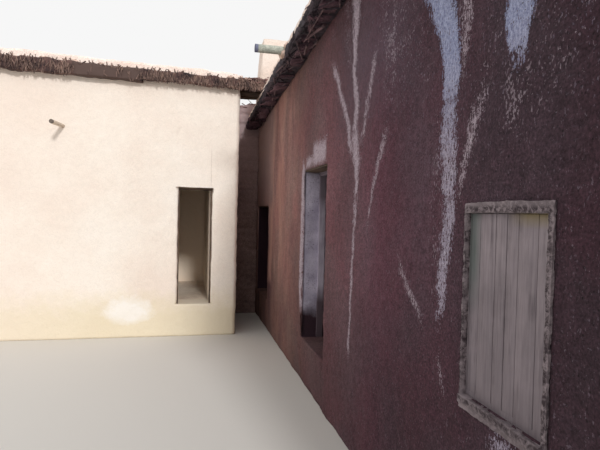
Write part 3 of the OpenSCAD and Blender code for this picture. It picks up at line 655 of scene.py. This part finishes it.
def flakes(bm, laid):
    # flat slabs of dried mud and stone: middle, half sizes, droop and turn of each
    for middle, half, tilt, turn in laid:
        flake = bmesh.new()
        bmesh.ops.create_cube(flake, size=2)
        bmesh.ops.scale(flake, vec=half, verts=flake.verts)
        bmesh.ops.bevel(flake, geom=flake.edges, offset=min(half) * 0.6, segments=1,
                        profile=0.5, affect="EDGES", material=-1)
        bmesh.ops.subdivide_edges(flake, edges=[e for e in flake.edges if e.calc_length() > 0.10],
                                  cuts=2, use_grid_fill=True)
        flake.normal_update()
        for vert in flake.verts:
            vert.co += vert.normal * 0.5 * min(half) * noise.noise((vert.co + middle) * 14.0)
        bmesh.ops.rotate(flake, cent=(0, 0, 0), verts=flake.verts,
                         matrix=Matrix.Rotation(turn, 3, "Z") @ Matrix.Rotation(tilt, 3, "Y"))
        bmesh.ops.translate(flake, vec=middle, verts=flake.verts)
        gather(bm, flake)


def dried(name, dark, pale, grain, hanging=1.0):
    # reed and twig bark: matt, with every few stems their own tone and a fine grain,
    # drawn out downwards where the stems hang
    material, tree, spot = begin(name, 0.85)
    laid = add(tree, "Mapping", spot, Scale=(grain, grain, grain / hanging))
    tone = add(tree, "TexNoise", laid, Scale=1.0, Detail=4.0, Roughness=0.7)
    bunch = add(tree, "TexNoise", spot, Scale=4.0, Detail=3.0)
    tone = add(tree, "Math", bunch, 0.5, tone, operation="MULTIPLY_ADD")
    colour = add(tree, "ValToRGB", tone, ramp=[(0.58, dark), (0.92, pale)])
    coat(tree, colour, tone)
    return material, tree, spot, colour


RIGHT_FALL, LEFT_FALL = 0.055, 0.025  # metres a metre, along the court and to the alley


def under_right(y):
    # the height of the brush's underside
    return 4.270 - RIGHT_FALL * (y - CORNER.y)


def under_left(x):
    # and on the left wing, where it is level over the alley
    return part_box("alley_brush")[0].z - LEFT_FALL * min(0.0, x - left_high.x)


rng = random.Random(4)
low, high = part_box("right_roof_brush")
bm = masonry(["right_roof_brush"], ["right_base", "rain_spout"], pitch=0.24)
split(bm, 0.07, lambda f: f.normal.z < 0.5)
weather(bm, lambda f: f.normal.z < 0.5, lambda p: lumps(p, 0.22, 0.020), level=False)
twigs = []
for _ in range(2300):
    y = rng.uniform(low.y + 0.05, far_wall - 0.03)
    turn = rng.gauss(0, 0.5) if rng.random() < 0.45 else rng.choice((-1, 1)) * rng.gauss(1.3, 0.15)
    tip = Vector((low.x + rng.uniform(-0.012, 0.04), y,
                  under_right(y) + rng.uniform(-0.022, 0.105)))
    length = rng.uniform(0.10, 0.35)
    butt = tip + Vector((math.cos(turn) * length, math.sin(turn) * length,
                         rng.uniform(-0.02, 0.02)))
    butt.y = max(low.y - 0.02, min(far_wall, butt.y))
    butt.z = max(butt.z, under_right(butt.y) - 0.022)
    twigs.append((butt, tip, rng.uniform(0.004, 0.009)))
stems(bm, twigs)
court_brush_shaded = dried("court_brush_painted_shade", "#18131C", "#4C3D46", 24.0)[0]
stand(bm, "right_brush", court_brush_shaded, "brush_layer", "right_roof_brush")

# thicker branches hold the brush down, laid nearly along the eave
bm = bmesh.new()
twigs = []
for _ in range(140):
    y = rng.uniform(low.y + 0.3, CORNER.y + 8.6)
    x = low.x + rng.uniform(0.0, 0.20)
    turn = math.pi / 2 + rng.gauss(0, 0.30)
    length = rng.uniform(0.30, 0.85)
    middle = Vector((x, y, under_right(y) + rng.uniform(-0.024, 0.06)))
    reach = Vector((math.cos(turn), math.sin(turn), -RIGHT_FALL)) * length / 2
    if abs(reach.x) < x - low.x + 0.02:
        twigs.append((middle - reach, middle + reach, rng.uniform(0.009, 0.019)))
stems(bm, twigs, 6)
branch = dried("eave_branch_bark", "#35292F", "#83676B", 10.0)[0]
stand(bm, "eave_branches", branch, "brush_layer")

# and flat slabs of mud and slate, lapped like shingles, droop along the far half,
# painted dark as the eave looks in shade
bm = bmesh.new()
laid = []
y = CORNER.y + 3.9
while y < far_wall:
    droop = rng.uniform(0.04, 0.20)
    laid.append((Vector((low.x + 0.120 + rng.uniform(-0.01, 0.05), y,
                         under_right(y) + rng.uniform(-0.014, 0.012))),
                 Vector((rng.uniform(0.08, 0.13), rng.uniform(0.05, 0.13),
                         rng.uniform(0.009, 0.018))),
                 -droop, rng.gauss(0, 0.22)))
    y += rng.uniform(0.10, 0.34)
for _ in range(26):
    # lumps of the same lie where the eave passes the alley
    y = CORNER.y + rng.uniform(8.3, 9.9)
    size = rng.uniform(0.03, 0.06)
    middle = Vector((low.x + rng.uniform(0.03, 0.20), y, under_right(y) + rng.uniform(-0.02, 0.04)))
    laid.append((middle, Vector((size * 1.4, size * 1.5, size)), 0.0, rng.uniform(0, 3)))
flakes(bm, laid)
slate = adobe("eave_slabs_painted_shade", "#3E2D36", "#5C454E", "#7C6168", "#8C7276", patch=3.0)[0]
stand(bm, "eave_slabs", slate, "brush_layer")

low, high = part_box("left_roof_brush")
bm = masonry(["left_roof_brush", "alley_brush"], ["left_base", "left_roof_poles"], pitch=0.24)
split(bm, 0.06, lambda f: f.normal.z < 0.5)
# one stretch of the facade's brush has been smeared over with mud
smear = (CORNER.x - 3.10, CORNER.x - 2.15)
weather(bm, lambda f: f.normal.z < 0.5, lambda p: lumps(
    p, 0.20, 0.014 if smear[0] < p.x < smear[1] else 0.032), level=False)
bed, tree, spot, colour = dried("facade_brush_bed", "#22151A", "#70524B", 30.0, 5.0)
daubed = add(tree, "TexNoise", spot, Scale=3.0, Detail=5.0)
daubed = add(tree, "Math", daubed, 0.4, add(tree, "SeparateXYZ", spot), operation="MULTIPLY_ADD")
coat(tree, lay(tree, colour, "#594640", (daubed, smear[0] + 0.15, smear[0] + 0.25),
               (daubed, smear[1] + 0.25, smear[1] + 0.15)))
stand(bm, "left_brush", bed, "brush_layer", "left_roof_brush", "alley_brush")

# its reeds hang over the edge in a fringe, most of it before the facade
bm = bmesh.new()
twigs = []
for _ in range(1500):
    x = rng.uniform(low.x, CORNER.x + 0.28)
    if smear[0] < x < smear[1] and rng.random() < 0.93:
        continue
    droop = 0.085 if x < smear[1] else 0.035
    z = under_left(x) + rng.uniform(-0.5 * droop, 0.11)
    length = rng.uniform(0.04, 0.13)
    lean = rng.gauss(0, 0.35)
    butt = Vector((x, low.y - rng.uniform(-0.02, 0.022), z))
    tip = butt + Vector((math.sin(lean) * length, -rng.uniform(0, 0.02), -math.cos(lean) * length))
    tip.z = max(tip.z, under_left(x) - droop - rng.uniform(0.0, 0.05))
    twigs.append((butt, tip, rng.uniform(0.005, 0.012)))
for _ in range(420):
    # stubs poke up through the kerb's front
    x = rng.uniform(low.x, CORNER.x + 0.25)
    butt = Vector((x, low.y + rng.uniform(0.0, 0.04), under_left(x) + 0.08))
    tip = butt + Vector((rng.gauss(0, 0.03), -rng.uniform(-0.03, 0.02), rng.uniform(0.02, 0.085)))
    twigs.append((butt, tip, rng.uniform(0.008, 0.016)))
for _ in range(900):
    # the other eaves, their stems lying square to the edge
    if rng.random() < 0.6:
        butt = Vector((rng.uniform(low.x, left_high.x - 0.005), high.y, 0.0))
        out = Vector((0, 1, 0))
    else:
        butt = Vector((low.x, rng.uniform(low.y, high.y), 0.0))
        out = Vector((-1, 0, 0))
    butt.z = under_left(butt.x) + rng.uniform(0.0, 0.10)
    tip = butt + out * rng.uniform(0.01, 0.05) + Vector((0, 0, rng.uniform(-0.04, 0.0)))
    twigs.append((butt - out * 0.1, tip, rng.uniform(0.004, 0.010)))
stems(bm, twigs)
reeds = dried("facade_reeds_painted_sunlit", "#24151A", "#9C7F72", 34.0, 4.0)[0]
stand(bm, "left_reeds", reeds, "brush_layer")


# The roofs' mud: a hand's breadth of earth trodden over the brush and turned up in a
# low kerb along the edges, left lumpy and clodded by rain and drying.
# painted light: the roof mud is painted near white, as the earth looks in full sun
roof_mud = adobe("roof_mud_trodden", "#F2D9CC", "#FAE5D9", "#FFF1E8", "#F2E4D4", patch=2.2,
                 bump=0.7, depth=0.5)[0]
court_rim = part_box("right_roof_mud")[0].x


def topside(face):
    return face.normal.z > -0.2


def spill(place):
    # the kerb on the court side has slumped over the brush's edge
    slumped = 0.040 if place.x < court_rim + 0.02 else 0.0
    return lumps(place, 0.30, 0.014) + slumped


for name, nodes, marks in (("right_mud", ["right_roof_mud"], ["right_base", "rain_spout"]),
                           ("left_mud", ["left_roof_mud"], ["left_base"])):
    bm = masonry(nodes, marks, pitch=0.22)
    split(bm, 0.09, topside)
    weather(bm, topside, spill, level=False)
    stand(bm, name, roof_mud, "roof_mud", *nodes)

# clods lie along the facade's edge, and over the alley earth and sticks are mixed
bm = bmesh.new()
laid = []
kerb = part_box("left_roof_mud")[0]
for _ in range(60):
    x = rng.uniform(kerb.x + 0.1, CORNER.x - 0.1)
    size = rng.uniform(0.010, 0.022)
    middle = Vector((x, kerb.y + rng.uniform(-0.015, 0.03), under_left(x) + rng.uniform(0.10, 0.15)))
    laid.append((middle, Vector((size * 2.6, size * 1.6, size)), 0.0, rng.gauss(0, 0.3)))
# and mud is packed round the spout where it leaves the roof
for _ in range(14):
    laid.append((Vector((court_rim + rng.uniform(-0.05, 0.04), CORNER.y + rng.uniform(5.88, 6.06),
                         rng.uniform(4.00, 4.14))),
                 Vector((0.05, 0.045, 0.035)) * rng.uniform(0.7, 1.2), 0.0, rng.uniform(0, 3)))
flakes(bm, laid)
clod = adobe("edge_clods_earth", "#A98A7C", "#CDB1A3", "#E9D2C6", "#E0CDBA", patch=4.0)[0]
stand(bm, "edge_clods", clod, "roof_mud")

bm = masonry(["alley_mud"], pitch=0.10)
split(bm, 0.05, topside)
weather(bm, topside, lambda p: lumps(p, 0.16, 0.018), level=False)
low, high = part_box("alley_mud")
twigs = []
for _ in range(130):
    middle = Vector((rng.uniform(low.x, high.x), low.y + rng.uniform(-0.03, 0.12),
                     rng.uniform(low.z - 0.08, high.z + 0.01)))
    turn = rng.gauss(0, 0.5)
    reach = Vector((math.cos(turn), math.sin(turn), rng.gauss(0, 0.12))) * rng.uniform(0.06, 0.22)
    twigs.append((middle - reach, middle + reach, rng.uniform(0.005, 0.014)))
for _ in range(70):
    share = rng.uniform(0, 1)
    middle = Vector((closing_low.x + share * (closing_high.x - closing_low.x),
                     rng.uniform(closing_low.y - 0.02, closing_high.y),
                     closing_high.z - 0.05 + 0.12 * share + rng.uniform(-0.03, 0.02)))
    turn = rng.gauss(0.3, 0.5)
    reach = Vector((math.cos(turn), math.sin(turn) * 0.4, rng.gauss(0, 0.3))) \
        * rng.uniform(0.04, 0.16)
    twigs.append((middle - reach, middle + reach, rng.uniform(0.005, 0.013)))
stems(bm, twigs, 5)
cover = dried("alley_earth_and_sticks", "#3A2426", "#96716A", 14.0)[0]
stand(bm, "alley_cover", cover, "roof_mud", "alley_mud")

# the stack on the right wing is mud too, painted paler as it looks in sun
bm = masonry(["roof_stack"], pitch=0.12)
split(bm, 0.06)
weather(bm, lambda f: True, lambda p: lumps(p, 0.35, 0.010), level=False)
stack_mud = adobe("stack_adobe_painted_sunlit", "#DCC5B4", "#E8D7CA", "#F0E3D8", "#F0E4D4", bump=0.5,
                  depth=0.3)[0]
stand(bm, "stack", stack_mud, "roof_mud", "roof_stack")


# Poles, logs, planks and posts: round poplar and rough-sawn boards, never planed,
# grey-brown with weather, checked along the grain.
def timber(name, dark, pale, lengthwise, bump=0.5, rings=70.0):
    # the grain's noise is drawn out twenty times along the wood
    material, tree, spot = begin(name, 0.8)
    scale = [rings] * 3
    scale[lengthwise] = rings / 20
    laid = add(tree, "Mapping", spot, Scale=scale)
    grain = add(tree, "TexNoise", laid, Scale=1.0, Detail=5.0, Roughness=0.65)
    stain = add(tree, "TexNoise", spot, Scale=4.0, Detail=4.0)
    mixed = add(tree, "Math", grain, stain, operation="ADD")
    mixed = add(tree, "MapRange", mixed, 0.72, 1.28)
    colour = add(tree, "ValToRGB", mixed, ramp=[(0.0, dark), (1.0, pale)])
    coat(tree, colour, grain, bump, 0.003)
    return material, tree, spot, colour


def wear(material, *nodes):
    # nodes that keep their own form only take the material
    for node in nodes:
        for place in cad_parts[node].material_slots:
            place.material = material


def rough(node, material, pitch=0.12, size=0.14, height=0.004):
    # a wooden part whose faces and arrises are a little out of true
    bm = masonry([node], pitch=pitch)
    split(bm, max(0.03, pitch * 0.6))
    weather(bm, lambda f: True, lambda p: lumps(p, size, height), level=False)
    stand(bm, node.replace("_", "-"), material, "rough_wood", node, angle=35)


wood_x = timber("rough_wood_across", "#33261F", "#6A5443", 0)[0]
wood_y = timber("rough_wood_along", "#33261F", "#6A5443", 1)[0]
# the court door's posts are limed, painted lilac-grey as lime looks in shade; they are
# painted dark at the head as the lintel's shade, and rubbed dark below the hand
posts, tree, spot, colour = timber("door_posts_limed", "#948A97", "#C2B8C7", 2)
above = add(tree, "SeparateXYZ", spot).node.outputs[2]
head_shade_and_rub = masked(tree, (above, 2.05, 2.25, 0.0, 0.8), (above, 1.15, 0.95), operation="MAXIMUM")
coat(tree, lay(tree, colour, "#54454C", head_shade_and_rub))
wood_z = timber("rough_wood_upright", "#3A2C24", "#77604E", 2)[0]
for node in ("right_door_lintel", "low_door_lintel", "window_lintel"):
    rough(node, wood_y)
rough("left_door_lintel", wood_x)
rough("alley_logs", wood_x, pitch=0.08, size=0.25, height=0.006)

# the peg in the facade: a branch, painted pale as it looks in full sun, with a dark cut end
sunlit_peg, tree, spot, colour = timber("peg_branch_painted_sunlit", "#C2B09E", "#F0E2D0", 1)
into = add(tree, "SeparateXYZ", spot).node.outputs[1]
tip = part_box("left_wall_peg")[0].y
cut = add(tree, "MapRange", into, tip + 0.035, tip + 0.015, 0.0, 0.85)
coat(tree, lay(tree, colour, "#3E312C", cut))
rough("left_wall_peg", sunlit_peg, pitch=0.04, size=0.10, height=0.003)

# both rooms have a floor of trodden earth; poles, frames and pad keep their own form
trodden = adobe("floor_trodden_earth", "#DCC6B2", "#EEDCC8", "#F8E8D6", "#F0E0CC", patch=1.5,
                depth=0.4)[0]
wear(wood_x, "right_roof_poles")
wear(wood_y, "left_roof_poles")
wear(wood_z, "left_door_frame")
wear(posts, "right_door_frame")
wear(trodden, "right_floor", "left_floor")
wear(bare, "alley_log_pad")


# The window: lime plaster smeared round the opening by hand, brown with mud where it
# has rubbed thin, and two leaves of sawn boards under old cream-grey oil paint.
def smeared(name, dark, pale, start=0.40, end=0.62, grains=34.0):
    # a chalky skin with a grain of 10 to 30 mm in two tones, as a wiping hand leaves it
    material, tree, spot = begin(name, 0.9)
    tone = add(tree, "TexNoise", spot, Scale=grains, Detail=6.0, Roughness=0.72, Distortion=0.8)
    colour = add(tree, "ValToRGB", tone, ramp=[(start, dark), (end, pale)])
    coat(tree, colour, tone, 0.7)
    return material, tree, spot, colour


plaster, tree, spot, colour = smeared(
    "lime_plaster_smeared", "#33272C", "#8C7F83", 0.44, 0.62, 30.0)
spot = add(tree, "Mapping", spot, Location=-CORNER)
_, along, above = add(tree, "SeparateXYZ", spot).node.outputs
# the band is palest along its outer and its inner edge, where the hand pressed
leaves_w, leaves_h, leaves_z = 0.580, 0.924, 1.606
edge = masked(tree, beyond(tree, along, window.y - leaves_w / 2, window.y + leaves_w / 2),
              beyond(tree, above, leaves_z - leaves_h / 2, leaves_z + leaves_h / 2),
              operation="MAXIMUM")
hand = add(tree, "TexNoise", spot, Scale=16.0, Detail=4.0)
edge = add(tree, "Math", hand, 0.03, edge, operation="MULTIPLY_ADD")
ridge = masked(tree, (edge, 0.040, 0.056), (edge, 0.026, 0.014), operation="MAXIMUM")
colour = lay(tree, colour, "#33272C", (above, 1.165, 1.135, 0.0, 0.35))
coat(tree, lay(tree, colour, "#978A8E", ridge, (along, 1.95, 2.08, 0.40, 0.75)))
bm = masonry(["window_surround"], pitch=0.03)
split(bm, 0.018)
sill, lip, near_side, far_side = 1.168, 1.142, 1.500, 2.096
for vert in bm.verts:
    # the band is narrow at the sides, most at the far one, and the sill's lip lies low
    p = vert.co - CORNER
    if p.z < sill:
        vert.co.z = lip - (sill - p.z) * 0.68
    if p.y > far_side and (p.x < 0.001 or p.y < 2.11):
        vert.co.y = CORNER.y + 2.092 + (p.y - far_side) * 0.42
    if p.y < near_side:
        vert.co.y = CORNER.y + near_side - (near_side - p.y) * 0.80
weather(bm, lambda f: f.normal.x < 0.5, lambda p: lumps(p, 0.06, 0.005), level=False)
stand(bm, "window-surround", plaster, "lime_plaster", "window_surround", angle=60)

# each leaf is three boards with worn arrises, tongued together and hung against a
# plain frame; the oil paint is chalky, stained by drips from the head
joints = [1.508, 1.589, 1.716, window.y, 1.880, 2.007, 2.088]
bm = bmesh.new()
for start, end in zip(joints, joints[1:]):
    step = rng.uniform(-0.0015, 0.0015)
    for inset, front, back in ((0.0022, 0.018 + step, 0.033), (-0.001, 0.030, 0.040)):
        board = bmesh.new()
        bmesh.ops.create_cube(board, size=1)
        size = Vector((back - front, end - start - 2 * inset, leaves_h))
        bmesh.ops.scale(board, vec=size, verts=board.verts)
        bmesh.ops.bevel(board, geom=board.edges, offset=0.0018, segments=2, profile=0.5,
                        affect="EDGES", material=-1)
        for place in range(-4, 5):
            bmesh.ops.bisect_plane(board, geom=board.verts[:] + board.edges[:] + board.faces[:],
                                   plane_co=(0, 0, place * 0.1), plane_no=(0, 0, 1))
        bmesh.ops.translate(board, verts=board.verts, vec=CORNER + Vector((
            (front + back) / 2, (start + end) / 2, leaves_z)))
        for vert in board.verts:
            vert.co.y += 0.0016 * noise.noise(Vector((start * 9, 0, vert.co.z * 3)))
        gather(bm, board)
painted, tree, spot, colour = timber(
    "painted_boards_weathered", "#766C71", "#9A8E93", 2, 0.35, 110.0)
spot = add(tree, "Mapping", spot, Location=-CORNER)
_, along, above = add(tree, "SeparateXYZ", spot).node.outputs
drip = add(tree, "Mapping", spot, Scale=(1.0, 26.0, 2.2))
drip = add(tree, "TexNoise", drip, Scale=1.0, Detail=5.0, Roughness=0.6)
smudge = add(tree, "TexNoise", spot, Scale=9.0, Detail=4.0)
colour = lay(tree, colour, "#4F454A", (drip, 0.50, 0.70), (smudge, 0.40, 0.60, 0.2, 0.8))
# the boards are dirty towards the sill, brown under the head and green at the far side
colour = lay(tree, colour, "#5F555A", (above, 2.0, 1.15, 0.0, 0.5))
colour = lay(tree, colour, "#8A7A4E", (above, 2.005, 2.066), (along, 1.80, 1.66, 0.0, 0.75))
coat(tree, lay(tree, colour, "#56635E", (along, 1.99, 2.05, 0.0, 0.7), (above, 1.55, 1.80)))
stand(bm, "shutter_boards", painted, "painted_wood", "window_leaf_near", "window_leaf_far",
      angle=35)
wear(painted, "window_frame")

# The rain spout: a length of grey fibre-cement pipe, matt and chalky outside, with
# darker lichen, and a dark blue-grey band round its mouth painted as the shade in its open bore.
pipe, tree, spot, colour = smeared("spout_pipe_grey", "#989B90", "#C9CABC")
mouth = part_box("rain_spout")[0].x
mouth_shade = add(tree, "MapRange", add(tree, "SeparateXYZ", spot), mouth + 0.045, mouth + 0.030, 0.0, 0.85)
coat(tree, lay(tree, colour, "#5E6284", mouth_shade))
wear(pipe, "rain_spout")


# The floor and the light: a plain pale floor that runs to the horizon, a soft white
# sky all round and one broad soft lamp high behind the camera.
bm = bmesh.new()
bmesh.ops.create_grid(bm, x_segments=1, y_segments=1, size=70)
bmesh.ops.translate(bm, vec=(0, 0, -0.001), verts=bm.verts)
mesh = bpy.data.meshes.new("studio_floor")
bm.to_mesh(mesh)
bm.free()
floor = bpy.data.objects.new("studio_floor", mesh)
scene.collection.objects.link(floor)
material = bpy.data.materials.new("studio_floor")
material.use_nodes = True
shader = material.node_tree.nodes["Principled BSDF"]
shader.inputs["Base Color"].default_value = linear("#D8D4CE")
shader.inputs["Roughness"].default_value = 0.95
mesh.materials.append(material)

world = bpy.data.worlds.new("studio")
scene.world = world
world.use_nodes = True
tree = world.node_tree
plain = tree.nodes["Background"]
plain.inputs[0].default_value = (1, 1, 1, 1)
plain.inputs[1].default_value = 0.78
seen = add(tree, "Background", Color=(1, 1, 1, 1), Strength=0.93)
path = add(tree, "LightPath").node.outputs
shown = masked(tree, path["Is Camera Ray"], path["Is Glossy Ray"], path["Is Transmission Ray"],
               operation="MAXIMUM")
mixed = add(tree, "MixShader", shown, plain.outputs[0], seen)
tree.links.new(mixed, tree.nodes["World Output"].inputs["Surface"])
lamp = bpy.data.lights.new("soft_key", "SUN")
lamp.energy = 1.6
lamp.angle = math.radians(8)
key = bpy.data.objects.new("soft_key", lamp)
key.rotation_euler = Vector((0.13, -1.0, 0.55)).to_track_quat("Z", "Y").to_euler()
scene.collection.objects.link(key)
